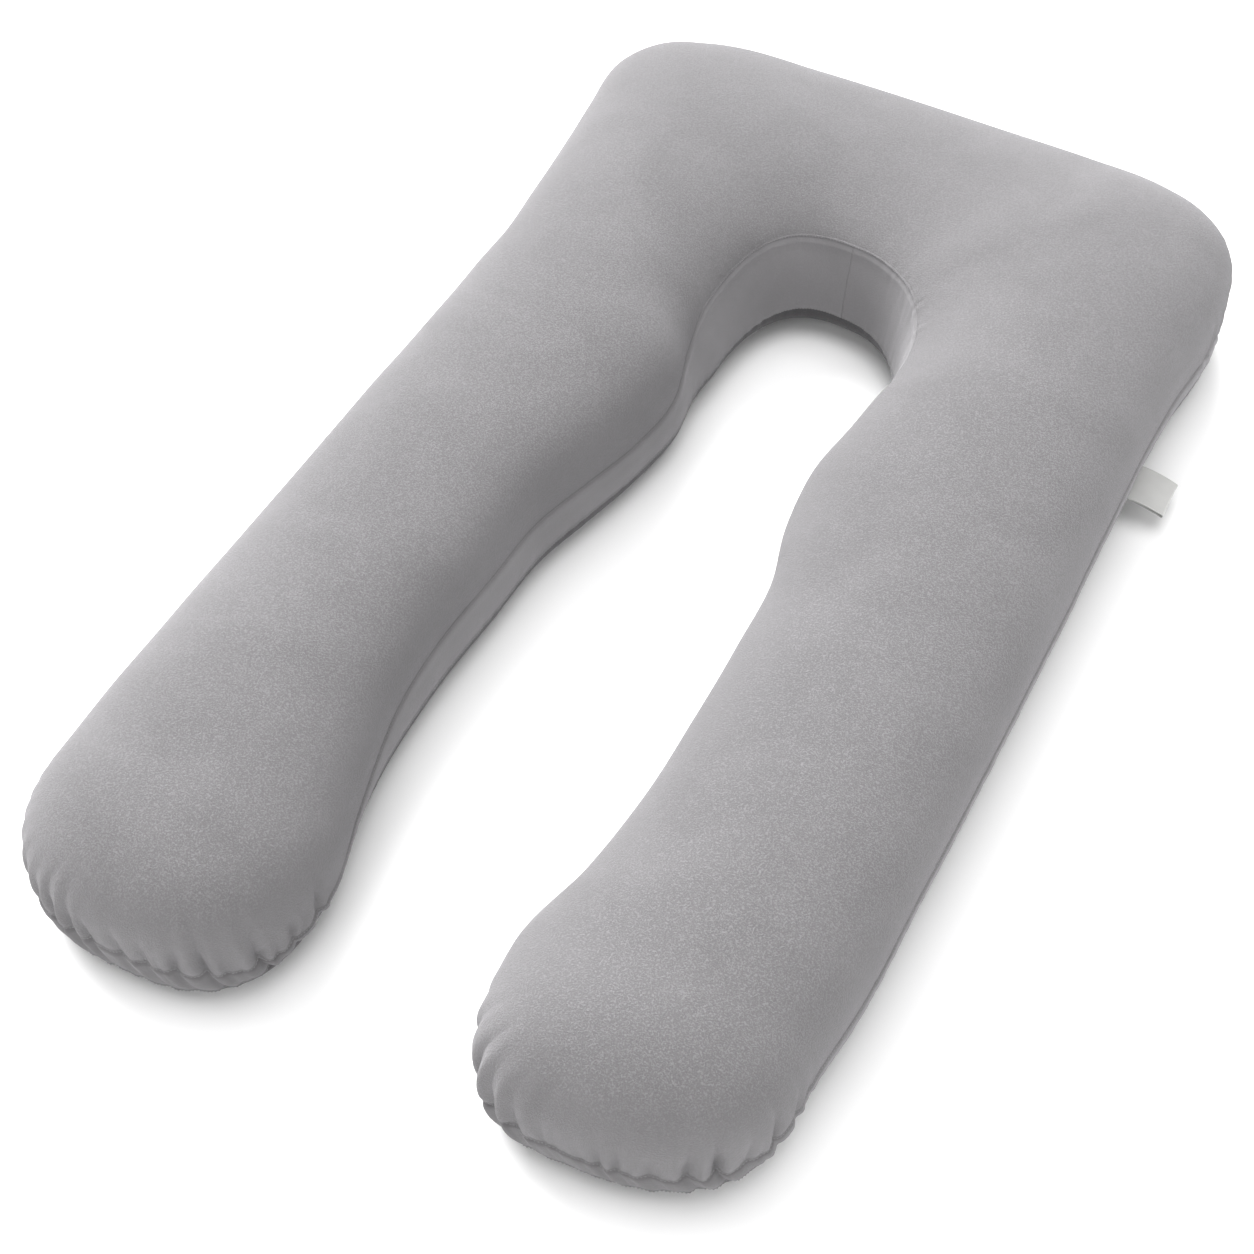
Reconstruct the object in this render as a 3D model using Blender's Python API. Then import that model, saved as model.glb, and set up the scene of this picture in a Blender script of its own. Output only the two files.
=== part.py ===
"""A U-shaped pregnancy pillow, lying flat: one filled body in a sewn cover, and the folded label in its side seam.

The pillow is built in metres with +Z up, its head end towards +Y and its two legs towards -Y. Its length and width
are known sizes, and every edge position below was read from the photographed outline at that size.
"""

from collections import namedtuple

import bmesh
import bpy
import numpy as np
from mathutils import Matrix

# Plan of the two legs, cut across at each y: where the outer and inner sides reach, how high the crest is, and how
# high the upper seam runs on each side.
Leg = namedtuple("Leg", "y outer inner crest outer_seam inner_seam")
LEFT_LEG = (
    Leg(-0.600, -0.410, -0.097, 0.170, 0.060, 0.050),
    Leg(-0.500, -0.407, -0.120, 0.175, 0.062, 0.058),
    Leg(-0.400, -0.401, -0.140, 0.178, 0.062, 0.076),
    Leg(-0.300, -0.396, -0.144, 0.178, 0.062, 0.086),
    Leg(-0.200, -0.394, -0.143, 0.178, 0.062, 0.085),
    Leg(-0.100, -0.392, -0.137, 0.179, 0.062, 0.085),
    Leg(-0.020, -0.391, -0.116, 0.180, 0.062, 0.083),
    Leg(0.060, -0.388, -0.089, 0.181, 0.062, 0.080),
    Leg(0.140, -0.385, -0.081, 0.182, 0.063, 0.086),
    Leg(0.200, -0.383, -0.090, 0.182, 0.064, 0.105),
    Leg(0.260, -0.381, -0.098, 0.183, 0.065, 0.128),
)
RIGHT_LEG = (
    Leg(-0.600, 0.393, 0.084, 0.170, 0.060, 0.050),
    Leg(-0.500, 0.404, 0.116, 0.175, 0.062, 0.058),
    Leg(-0.400, 0.408, 0.129, 0.178, 0.062, 0.076),
    Leg(-0.300, 0.410, 0.131, 0.178, 0.062, 0.086),
    Leg(-0.200, 0.411, 0.129, 0.178, 0.062, 0.085),
    Leg(-0.100, 0.412, 0.126, 0.179, 0.062, 0.085),
    Leg(-0.020, 0.412, 0.108, 0.180, 0.062, 0.083),
    Leg(0.060, 0.413, 0.097, 0.181, 0.062, 0.080),
    Leg(0.140, 0.413, 0.109, 0.182, 0.063, 0.086),
    Leg(0.200, 0.413, 0.120, 0.182, 0.064, 0.105),
    Leg(0.260, 0.414, 0.124, 0.183, 0.065, 0.128),
)

# Plan of the head end, cut along rays from the middle of the arch: the angle from +X, how far out the edge lies, and
# the same three heights.
Ray = namedtuple("Ray", "angle reach crest outer_seam inner_seam")
HEAD = (
    Ray(180, 0.401, 0.183, 0.065, 0.128),
    Ray(160, 0.424, 0.185, 0.066, 0.133),
    Ray(147, 0.503, 0.187, 0.068, 0.136),
    Ray(139, 0.574, 0.187, 0.068, 0.137),
    Ray(133, 0.595, 0.187, 0.068, 0.137),
    Ray(127, 0.579, 0.184, 0.068, 0.137),
    Ray(112, 0.508, 0.176, 0.068, 0.136),
    Ray(90, 0.465, 0.170, 0.068, 0.136),
    Ray(66, 0.496, 0.176, 0.068, 0.136),
    Ray(56, 0.524, 0.184, 0.068, 0.137),
    Ray(50, 0.537, 0.187, 0.068, 0.137),
    Ray(44, 0.537, 0.187, 0.068, 0.137),
    Ray(36, 0.499, 0.187, 0.068, 0.136),
    Ray(20, 0.422, 0.185, 0.066, 0.133),
    Ray(0, 0.394, 0.183, 0.065, 0.128),
)
ARCH_CENTRE = np.array([0.020, 0.260])
ARCH_RISE = 0.147
ARCH_SQUARENESS = 2.0

# Feet: each leg ends in a bluff round, where the cover is gathered into its seam. Its sides run straight on from the
# leg. Its tip is moved sideways along X and slanted, so that the inner half reaches further out than the outer half.
Foot = namedtuple("Foot", "tip_y squareness sideways slant seam")
LEFT_FOOT = Foot(-0.750, 2.45, 0.000, 0.006, 0.050)
RIGHT_FOOT = Foot(-0.746, 2.55, -0.014, 0.012, 0.050)

# A gather is a crease that runs up from the seam round a foot: how far round the foot it lies from the outer side to
# the inner side, how deep it is at the seam, and how far up the cover it runs.
Gather = namedtuple("Gather", "share depth reach")
LEFT_GATHERS = (
    Gather(0.06, 0.0030, 0.040),
    Gather(0.12, 0.0038, 0.050),
    Gather(0.18, 0.0032, 0.036),
    Gather(0.25, 0.0042, 0.055),
    Gather(0.31, 0.0036, 0.042),
    Gather(0.37, 0.0030, 0.034),
    Gather(0.43, 0.0042, 0.050),
    Gather(0.49, 0.0036, 0.040),
    Gather(0.55, 0.0046, 0.056),
    Gather(0.61, 0.0038, 0.044),
    Gather(0.67, 0.0042, 0.050),
    Gather(0.74, 0.0032, 0.038),
    Gather(0.81, 0.0036, 0.044),
    Gather(0.88, 0.0028, 0.034),
)
RIGHT_GATHERS = (
    Gather(0.10, 0.0028, 0.034),
    Gather(0.17, 0.0036, 0.042),
    Gather(0.24, 0.0034, 0.040),
    Gather(0.31, 0.0042, 0.048),
    Gather(0.37, 0.0034, 0.038),
    Gather(0.43, 0.0040, 0.052),
    Gather(0.49, 0.0034, 0.038),
    Gather(0.55, 0.0038, 0.044),
    Gather(0.61, 0.0034, 0.040),
    Gather(0.68, 0.0046, 0.056),
    Gather(0.75, 0.0056, 0.070),
    Gather(0.82, 0.0050, 0.062),
    Gather(0.89, 0.0038, 0.048),
    Gather(0.95, 0.0030, 0.036),
)
GATHER_WIDTH = 0.0065
GATHER_FADE = 0.6
GATHER_BELOW = 0.5
GATHER_REACH_BELOW = 0.030

# Section of the cover, from the floor up: flat base, round lower edge, side strip between two seams, crown. Each
# inset is measured from the plan's edge, which only the crown reaches.
LOWER_SEAM = 0.035
LOWER_SEAM_RISE = 0.12
LOWER_TUCK = 0.014
UPPER_TUCK = 0.010
STRIP_BOW = 0.005
STRIP_LEAN = 0.24
LEVEL_STRIP = 0.062
CONTACT_INSET = 0.050
CROWN_FULLNESS = 2.15
CROWN_SWELL = 0.17

# How finely the surface is stepped.
LEG_STEPS = 25
HEAD_STEPS = 44
ARC_SAMPLES = 1760
FOOT_STEPS = 92
LOWER_STEPS = 3
STRIP_STEPS = 3
CROWN_STEPS = 8
SHARP_ANGLE = 50

# The label: a ribbon folded in half, both ends sewn into the lower seam of the right side.
LABEL_MIDDLE_Y = 0.290
LABEL_WIDTH = 0.056
LABEL_REACH = 0.038
LABEL_THICKNESS = 0.001
LABEL_OPENING = 0.0030
LABEL_ROOT_OPENING = 0.0003
LABEL_ROOT_CLEARANCE = 0.0014
LABEL_TIP_Z = 0.024
LABEL_STEPS = 8
LABEL_FOLD_STEPS = 5
LABEL_WIDTH_STEPS = 6

COVER_COLOUR = (0.335, 0.330, 0.335)
COVER_ROUGHNESS = 0.95
LABEL_COLOUR = (0.80, 0.80, 0.79)
LABEL_ROUGHNESS = 0.5


def through(rows, key, column, at):
    """A smooth curve through one column of a table, level at both ends, read at values of its key column."""
    known = np.array([getattr(row, key) for row in rows], float)
    value = np.array([getattr(row, column) for row in rows], float)
    if known[0] > known[-1]:
        known = known[::-1]
        value = value[::-1]
    slope = np.gradient(value, known)
    slope[[0, -1]] = 0
    i = np.clip(np.searchsorted(known, at) - 1, 0, len(known) - 2)
    width = known[i + 1] - known[i]
    t = (at - known[i]) / width
    start = value[i] * (1 + 2 * t) + width * slope[i] * t
    end = value[i + 1] * (3 - 2 * t) - width * slope[i + 1] * (1 - t)
    return start * (1 - t) ** 2 + end * t**2


def leg_stations(rows):
    """Sections across one leg, from its foot up to the arch: outer and inner edge, then the three heights."""
    y = np.linspace(rows[0].y, rows[-1].y, LEG_STEPS + 1)
    outer = np.stack([through(rows, "y", "outer", y), y], 1)
    inner = np.stack([through(rows, "y", "inner", y), y], 1)
    heights = [through(rows, "y", name, y) for name in ("crest", "outer_seam", "inner_seam")]
    return [outer, inner, *heights]


def directions(degrees):
    """Unit vectors in plan at angles from +X."""
    turn = np.radians(degrees)
    return np.stack([np.cos(turn), np.sin(turn)], 1)


def head_stations():
    """Sections evenly spaced round the head end, from the top of the left leg to the top of the right one."""
    fine = np.linspace(180, 0, ARC_SAMPLES + 1)
    edge = through(HEAD, "angle", "reach", fine)[:, None] * directions(fine)
    travel = np.concatenate([[0], np.cumsum(np.linalg.norm(np.diff(edge, axis=0), axis=1))])
    angle = np.interp(np.linspace(0, travel[-1], HEAD_STEPS + 1), travel, fine)
    ray = directions(angle)
    outer = ARCH_CENTRE + ray * through(HEAD, "angle", "reach", angle)[:, None]
    across = np.sign(ray[:, 0]) * np.abs(ray[:, 0]) ** (2 / ARCH_SQUARENESS)
    up = np.abs(ray[:, 1]) ** (2 / ARCH_SQUARENESS)
    half_left = ARCH_CENTRE[0] - LEFT_LEG[-1].inner
    half_right = RIGHT_LEG[-1].inner - ARCH_CENTRE[0]
    half = np.where(across < 0, half_left, half_right)
    inner = ARCH_CENTRE + np.stack([across * half, up * ARCH_RISE], 1)
    heights = [through(HEAD, "angle", name, angle) for name in ("crest", "outer_seam", "inner_seam")]
    return [outer, inner, *heights]


def spine_stations():
    """Every section in order, from the left foot round to the right one."""
    left = leg_stations(LEFT_LEG)
    head = head_stations()
    right = [column[::-1] for column in leg_stations(RIGHT_LEG)]
    return [np.concatenate([a, b[1:-1], c]) for a, b, c in zip(left, head, right)]


def foot_edge(foot, outer, inner, outer_seam, inner_seam):
    """The edge and seam height round one foot, from its outer side to its inner side, without those two ends."""
    turn = np.linspace(0, np.pi, FOOT_STEPS + 1)[1:-1]
    centre = (outer + inner) / 2
    across = np.sign(np.cos(turn)) * np.abs(np.cos(turn)) ** (2 / foot.squareness)
    along = np.sin(turn) ** (2 / foot.squareness)
    x = centre[0] + (outer[0] - centre[0]) * across + foot.sideways * np.sin(turn) ** 2
    y = centre[1] + (foot.tip_y - centre[1]) * along + foot.slant * np.cos(turn) * np.sin(turn)
    side_seam = outer_seam + (inner_seam - outer_seam) * (1 - np.cos(turn)) / 2
    seam = side_seam + (foot.seam - side_seam) * np.sin(turn) ** 2
    return np.stack([x, y], 1), seam


def ring_stations():
    """The whole edge as one ring: outer side, right foot, inner side, left foot.

    Returns each place on the edge, the spine points, the spine point that each place belongs to, and the heights of
    the crest and the upper seam there.
    """
    outer, inner, crest, outer_seam, inner_seam = spine_stations()
    last = len(outer) - 1
    right_edge, right_seam = foot_edge(
        RIGHT_FOOT, outer[last], inner[last], outer_seam[last], inner_seam[last]
    )
    left_edge, left_seam = foot_edge(LEFT_FOOT, outer[0], inner[0], outer_seam[0], inner_seam[0])
    edge = np.concatenate([outer, right_edge, inner[::-1], left_edge[::-1]])
    seam = np.concatenate([outer_seam, right_seam, inner_seam[::-1], left_seam[::-1]])
    there = np.arange(last + 1)
    foot = np.zeros(FOOT_STEPS - 1, int)
    owner = np.concatenate([there, foot + last, there[::-1], foot])
    return edge, (outer + inner) / 2, owner, crest, seam


def gathers_round(edge, spine_count):
    """How far round the ring each place lies, the ring's length, and the creases as (place, depth, reach) rows."""
    closed = np.concatenate([edge, edge[:1]])
    along = np.concatenate([[0], np.cumsum(np.linalg.norm(np.diff(closed, axis=0), axis=1))])
    right_start = along[spine_count - 1]
    right_length = along[spine_count - 1 + FOOT_STEPS] - right_start
    left_length = along[-1] - along[2 * spine_count - 2 + FOOT_STEPS]
    rows = [(right_start + g.share * right_length, g.depth, g.reach) for g in RIGHT_GATHERS]
    rows += [(along[-1] - g.share * left_length, g.depth, g.reach) for g in LEFT_GATHERS]
    return along[:-1], along[-1], np.array(rows)


def crease_depths(edge, spine_count, above):
    """How deep the cover is drawn in at each place round the ring, a signed distance above or below the seam."""
    along, length, creases = gathers_round(edge, spine_count)
    depth = np.zeros_like(above)
    for place, deepest, reach in creases:
        aside = (along - place + length / 2) % length - length / 2
        profile = np.exp(-((aside / GATHER_WIDTH) ** 2))
        fade_up = np.exp(-((np.maximum(above, 0) / (GATHER_FADE * reach)) ** 2))
        fade_down = 1 - (1 - GATHER_BELOW) * np.clip(-above / GATHER_REACH_BELOW, 0, 1)
        depth += deepest * profile * fade_up * np.where(above < 0, fade_down, 1)
    return depth


def section_rows(width, crest, seam):
    """Rows of (inset from the edge, height) for all sections, from the middle of the base up to the crest."""
    rows = [(width, 0 * width)]
    taller = seam - LEVEL_STRIP
    tuck = LOWER_TUCK - STRIP_LEAN * taller
    lower = LOWER_SEAM + LOWER_SEAM_RISE * taller
    for turn in np.linspace(0, np.pi / 2, LOWER_STEPS + 1)[:-1]:
        inset = CONTACT_INSET - (CONTACT_INSET - tuck) * np.sin(turn)
        rows.append((inset, lower * (1 - np.cos(turn))))
    for share in np.linspace(0, 1, STRIP_STEPS + 1)[:-1]:
        inset = tuck + (UPPER_TUCK - tuck) * share - STRIP_BOW * np.sin(np.pi * share)
        rows.append((inset, lower + share * (seam - lower)))
    for turn in np.linspace(0, np.pi / 2, CROWN_STEPS + 1):
        across = 1 - np.cos(turn) ** (2 / CROWN_FULLNESS)
        rise = np.sin(turn) ** (2 / CROWN_FULLNESS)
        swell = CROWN_SWELL * (crest - seam) * np.sin(2 * turn)
        rows.append((UPPER_TUCK + (width - UPPER_TUCK) * across - swell, seam + (crest - seam) * rise))
    return np.array(rows)


def surface_normals(grid):
    """Outward directions of a grid of points whose rows run from the base to the crest round the closed ring."""
    up = np.gradient(grid, axis=0)
    wrapped = np.concatenate([grid[:, -1:], grid, grid[:, :1]], axis=1)
    along = wrapped[:, 2:] - wrapped[:, :-2]
    normal = np.cross(up, along)
    length = np.linalg.norm(normal, axis=2, keepdims=True)
    return normal / np.maximum(length, 1e-12)


def cover_grid():
    """All points of the cover as rows from the base to the crest, with the spine point of each place."""
    edge, spine, owner, crest, seam = ring_stations()
    inward = spine[owner] - edge
    width = np.linalg.norm(inward, axis=1)
    inward /= width[:, None]
    seam_place = LOWER_STEPS + STRIP_STEPS + 1
    at_seam = crease_depths(edge, len(spine), np.zeros(len(edge)))
    inset, height = np.moveaxis(section_rows(width, crest[owner], seam + at_seam), 1, 0)
    plan = edge + inward * inset[:, :, None]
    grid = np.concatenate([plan, height[:, :, None]], axis=2)
    steps = np.linalg.norm(np.diff(grid, axis=0), axis=2)
    climb = np.concatenate([np.zeros((1, len(edge))), np.cumsum(steps, axis=0)])
    above = climb - climb[seam_place]
    depth = crease_depths(edge, len(spine), above)
    depth[: LOWER_STEPS + 1] = 0
    depth[-1] = 0
    return grid - surface_normals(grid) * depth[:, :, None], owner, len(spine)


def pillow_mesh():
    """The pillow as one closed mesh: its middle line on the base and its crest are shared by both sides."""
    grid, owner, spine_count = cover_grid()
    rows, ring = grid.shape[:2]
    first = [int(np.argmax(owner == i)) for i in range(spine_count)]
    build = bmesh.new()
    base_line = [build.verts.new(grid[0, i]) for i in first]
    crest_line = [build.verts.new(grid[-1, i]) for i in first]
    layers = [[base_line[i] for i in owner]]
    layers += [[build.verts.new(point) for point in grid[row]] for row in range(1, rows - 1)]
    layers += [[crest_line[i] for i in owner]]
    for lower, upper in zip(layers[:-1], layers[1:]):
        for i in range(ring):
            j = (i + 1) % ring
            corners = (lower[i], lower[j], upper[j], upper[i])
            build.faces.new(list(dict.fromkeys(corners)))
    bmesh.ops.recalc_face_normals(build, faces=build.faces)
    mesh = bpy.data.meshes.new("pillow")
    build.to_mesh(mesh)
    build.free()
    return mesh


def label_line(opening_side):
    """One side of the folded ribbon, seen along the seam, as points from the sewn root out to the fold and back."""
    share = np.linspace(0, 1, LABEL_STEPS + 1)
    drop = LOWER_SEAM - LABEL_TIP_Z
    middle = np.stack([LABEL_REACH * share, -drop * share**1.6], 1)
    direction = np.gradient(middle, axis=0)
    direction /= np.linalg.norm(direction, axis=1)[:, None]
    square = np.stack([-direction[:, 1], direction[:, 0]], 1)
    opening = LABEL_ROOT_OPENING + (LABEL_OPENING - LABEL_ROOT_OPENING) * np.sin(np.pi / 2 * share)
    half = (opening / 2 + opening_side * LABEL_THICKNESS)[:, None]
    turn = np.linspace(np.pi / 2, -np.pi / 2, LABEL_FOLD_STEPS + 1)[1:-1, None]
    fold = middle[-1] + half[-1] * (np.sin(turn) * square[-1] + np.cos(turn) * direction[-1])
    return np.concatenate([middle + half * square, fold, (middle - half * square)[::-1]])


def seam_beside(y):
    """The lower seam on the outer side of the right leg and head, read at places along Y: its x and its height."""
    grid, _, spine_count = cover_grid()
    outer_side = grid[LOWER_STEPS + 1, :spine_count]
    right = outer_side[outer_side[:, 0] > 0][::-1]
    return np.interp(y, right[:, 1], right[:, 0]), np.interp(y, right[:, 1], right[:, 2])


def label_mesh():
    """The ribbon as a closed strip: its folded outline carried along the seam that holds it."""
    outline = np.concatenate([label_line(1), label_line(0)[::-1]])
    half_width = LABEL_WIDTH / 2
    places = LABEL_MIDDLE_Y + np.linspace(-half_width, half_width, LABEL_WIDTH_STEPS + 1)
    build = bmesh.new()
    layers = []
    for y, x, z in zip(places, *seam_beside(places)):
        root = x + LABEL_ROOT_CLEARANCE
        layers.append([build.verts.new((root + out, y, z + up)) for out, up in outline])
    count = len(outline)
    half = count // 2
    for near, far in zip(layers[:-1], layers[1:]):
        for i in range(count):
            j = (i + 1) % count
            build.faces.new((near[i], near[j], far[j], far[i]))
    for end in (layers[0], layers[-1]):
        for i in range(half - 1):
            build.faces.new((end[i], end[i + 1], end[count - 2 - i], end[count - 1 - i]))
    bmesh.ops.recalc_face_normals(build, faces=build.faces)
    mesh = bpy.data.meshes.new("care_label")
    build.to_mesh(mesh)
    build.free()
    return mesh


def plain_material(name, colour, roughness):
    """A matt cloth colour."""
    material = bpy.data.materials.new(name)
    material.use_nodes = True
    shader = material.node_tree.nodes["Principled BSDF"]
    shader.inputs["Base Color"].default_value = (*colour, 1)
    shader.inputs["Roughness"].default_value = roughness
    shader.inputs["Metallic"].default_value = 0
    return material


def add_piece(name, mesh, material):
    """Put one sub-part into the scene."""
    mesh.materials.append(material)
    mesh.shade_smooth()
    mesh.set_sharp_from_angle(angle=np.radians(SHARP_ANGLE))
    bpy.context.scene.collection.objects.link(bpy.data.objects.new(name, mesh))


def centre_in_plan(meshes):
    """Move all meshes together so that the origin is under the middle of what they take up."""
    points = np.array([vertex.co for mesh in meshes for vertex in mesh.vertices])
    middle = (points.min(axis=0) + points.max(axis=0)) / 2
    for mesh in meshes:
        mesh.transform(Matrix.Translation((-middle[0], -middle[1], 0)))


def main():
    for old in list(bpy.data.objects):
        bpy.data.objects.remove(old)
    pillow = pillow_mesh()
    label = label_mesh()
    centre_in_plan((pillow, label))
    add_piece("pillow", pillow, plain_material("cover", COVER_COLOUR, COVER_ROUGHNESS))
    add_piece("care_label", label, plain_material("ribbon", LABEL_COLOUR, LABEL_ROUGHNESS))


main()
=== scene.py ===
"""Looks for a U-shaped pregnancy pillow in a grey plush cover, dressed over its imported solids.

The cover is built finely from nearly the same plan and section as the solids, in metres, as the three panels
that it is sewn from. Stitching, a folded label, soft studio light and the photograph's camera go with it.
"""

from collections import namedtuple

import bpy
import numpy as np
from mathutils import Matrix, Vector


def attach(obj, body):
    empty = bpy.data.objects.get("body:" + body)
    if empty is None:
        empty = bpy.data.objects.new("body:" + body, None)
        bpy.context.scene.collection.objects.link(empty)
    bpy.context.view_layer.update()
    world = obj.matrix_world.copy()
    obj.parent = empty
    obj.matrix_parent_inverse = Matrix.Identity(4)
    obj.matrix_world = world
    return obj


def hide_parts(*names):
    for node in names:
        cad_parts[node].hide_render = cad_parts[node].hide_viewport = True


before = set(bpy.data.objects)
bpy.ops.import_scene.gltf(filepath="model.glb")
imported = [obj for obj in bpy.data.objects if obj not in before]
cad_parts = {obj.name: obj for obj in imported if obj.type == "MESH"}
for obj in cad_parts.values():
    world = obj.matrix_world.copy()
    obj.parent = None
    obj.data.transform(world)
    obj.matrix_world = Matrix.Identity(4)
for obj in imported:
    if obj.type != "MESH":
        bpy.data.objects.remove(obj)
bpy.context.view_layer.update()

# The origin of the plan below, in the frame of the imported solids.
PLAN_ORIGIN = np.array([-0.01657, 0.00857])

# Plan of the two legs, cut across at each y: where the outer and inner sides reach, how high the crest is,
# and how high the upper seam runs on each side.
Leg = namedtuple("Leg", "y outer inner crest outer_seam inner_seam")
LEFT_LEG = (
    Leg(-0.600, -0.410, -0.097, 0.170, 0.060, 0.050),
    Leg(-0.500, -0.406, -0.120, 0.175, 0.062, 0.058),
    Leg(-0.400, -0.400, -0.139, 0.178, 0.062, 0.076),
    Leg(-0.300, -0.396, -0.143, 0.178, 0.062, 0.086),
    Leg(-0.200, -0.395, -0.137, 0.178, 0.062, 0.085),
    Leg(-0.100, -0.391, -0.131, 0.179, 0.062, 0.085),
    Leg(-0.020, -0.391, -0.110, 0.180, 0.062, 0.083),
    Leg(0.060, -0.389, -0.090, 0.181, 0.062, 0.080),
    Leg(0.140, -0.386, -0.081, 0.182, 0.063, 0.086),
    Leg(0.200, -0.385, -0.094, 0.182, 0.064, 0.105),
    Leg(0.260, -0.381, -0.098, 0.183, 0.065, 0.128),
)
RIGHT_LEG = (
    Leg(-0.600, 0.396, 0.087, 0.170, 0.060, 0.056),
    Leg(-0.500, 0.406, 0.112, 0.175, 0.062, 0.058),
    Leg(-0.400, 0.409, 0.126, 0.178, 0.062, 0.076),
    Leg(-0.300, 0.411, 0.128, 0.178, 0.062, 0.086),
    Leg(-0.200, 0.413, 0.127, 0.178, 0.062, 0.085),
    Leg(-0.100, 0.414, 0.123, 0.179, 0.062, 0.085),
    Leg(-0.020, 0.415, 0.104, 0.180, 0.062, 0.083),
    Leg(0.060, 0.416, 0.097, 0.181, 0.062, 0.080),
    Leg(0.140, 0.415, 0.109, 0.182, 0.063, 0.086),
    Leg(0.200, 0.415, 0.114, 0.182, 0.064, 0.105),
    Leg(0.260, 0.416, 0.124, 0.183, 0.065, 0.128),
)

# Plan of the head end, cut along rays from the middle of the arch: the angle from +X, how far out the edge
# lies, and the same three heights.
Ray = namedtuple("Ray", "angle reach crest outer_seam inner_seam")
HEAD = (
    Ray(180, 0.401, 0.183, 0.065, 0.128),
    Ray(170, 0.412, 0.184, 0.065, 0.130),
    Ray(160, 0.438, 0.185, 0.066, 0.133),
    Ray(147, 0.507, 0.187, 0.068, 0.136),
    Ray(139, 0.571, 0.187, 0.068, 0.137),
    Ray(133, 0.587, 0.187, 0.068, 0.137),
    Ray(127, 0.573, 0.184, 0.068, 0.137),
    Ray(112, 0.507, 0.176, 0.068, 0.136),
    Ray(90, 0.468, 0.170, 0.068, 0.136),
    Ray(66, 0.494, 0.176, 0.068, 0.136),
    Ray(56, 0.523, 0.184, 0.068, 0.137),
    Ray(50, 0.536, 0.187, 0.068, 0.137),
    Ray(44, 0.534, 0.187, 0.068, 0.137),
    Ray(36, 0.502, 0.187, 0.068, 0.136),
    Ray(20, 0.426, 0.185, 0.066, 0.133),
    Ray(0, 0.396, 0.183, 0.065, 0.128),
)

# The edge under the arch: a squarish curve round its middle, with its left shoulder raised and its right
# one lowered.
ARCH_CENTRE = np.array([0.020, 0.260])
ARCH_RISE = 0.142
ARCH_SQUARENESS = 2.35
ARCH_SKEW = 0.014

# Feet: each leg ends in a bluff round, where the cover is gathered into its seam. Its sides run straight on
# from the leg. Its tip is moved sideways along X and slanted, so that the inner half reaches further out
# than the outer half. Round the tip the upper seam has its own height, and the lower seam drops, so that
# more of the strip shows.
Foot = namedtuple("Foot", "tip_y squareness sideways slant seam drop")
LEFT_FOOT = Foot(-0.752, 2.55, 0.000, 0.004, 0.062, 0.017)
RIGHT_FOOT = Foot(-0.751, 2.60, -0.018, 0.006, 0.058, 0.015)
DROP_SHAPE = 1.5

# Section of the cover, from the floor up, close to the solids' one: a rounded edge up to the lower seam, a
# strip that bows out between two seams tucked in, and a crown. Where the upper seam runs higher than
# LEVEL_STRIP, the lower one rises and stands further out, and where it comes near the crest, the crown
# turns shallow.
LOWER_SEAM = 0.035
LOWER_SEAM_RISE = 0.12
LOWER_TUCK = 0.014
UPPER_TUCK = 0.010
STRIP_BOW = 0.004
STRIP_LEAN = 0.34
LEVEL_STRIP = 0.062
CONTACT_INSET = 0.050
CROWN_FULLNESS = 2.15
CROWN_SWELL = 0.192
SWELL_SHAPE = 1.3
SHALLOW_FROM = 0.45
SHALLOW_TO = 0.80
SHALLOW_RISE = 1.6

# How finely the cover is stepped, round its edge and up its section.
LEG_STEPS = 190
HEAD_STEPS = 300
FOOT_STEPS = 250
ARC_SAMPLES = 1800
BASE_STEPS = 4
LOWER_STEPS = 16
STRIP_STEPS = 20
CROWN_STEPS = 52
CROWN_PACKING = 1.9

# The two seams' rows in the grid of points.
LOWER_ROW = BASE_STEPS + LOWER_STEPS
UPPER_ROW = LOWER_ROW + STRIP_STEPS

# A gather is a crease that runs up from the seam round a foot: how far round the foot it lies from the
# outer side to the inner side, how deep it is, how far up the cover it runs, how wide it is, and how it
# leans.
Gather = namedtuple("Gather", "share depth reach width lean")
LEFT_GATHERS = (
    Gather(0.050, 0.0022, 0.073, 0.0050, 0.00),
    Gather(0.090, 0.0026, 0.076, 0.0055, 0.00),
    Gather(0.130, 0.0030, 0.073, 0.0055, 0.00),
    Gather(0.170, 0.0034, 0.069, 0.0055, 0.00),
    Gather(0.215, 0.0042, 0.066, 0.0060, 0.00),
    Gather(0.262, 0.0050, 0.063, 0.0060, 0.00),
    Gather(0.315, 0.0052, 0.059, 0.0055, 0.00),
    Gather(0.358, 0.0072, 0.069, 0.0050, 0.00),
    Gather(0.407, 0.0054, 0.075, 0.0050, 0.00),
    Gather(0.448, 0.0042, 0.050, 0.0045, 0.00),
    Gather(0.520, 0.0054, 0.053, 0.0050, 0.10),
    Gather(0.575, 0.0051, 0.056, 0.0050, 0.00),
    Gather(0.640, 0.0060, 0.069, 0.0055, -0.05),
    Gather(0.700, 0.0090, 0.083, 0.0055, 0.10),
    Gather(0.740, 0.0027, 0.069, 0.0060, 0.05),
    Gather(0.805, 0.0087, 0.077, 0.0055, 0.12),
    Gather(0.888, 0.0060, 0.062, 0.0050, 0.10),
    Gather(0.966, 0.0062, 0.075, 0.0050, 0.05),
)
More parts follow.
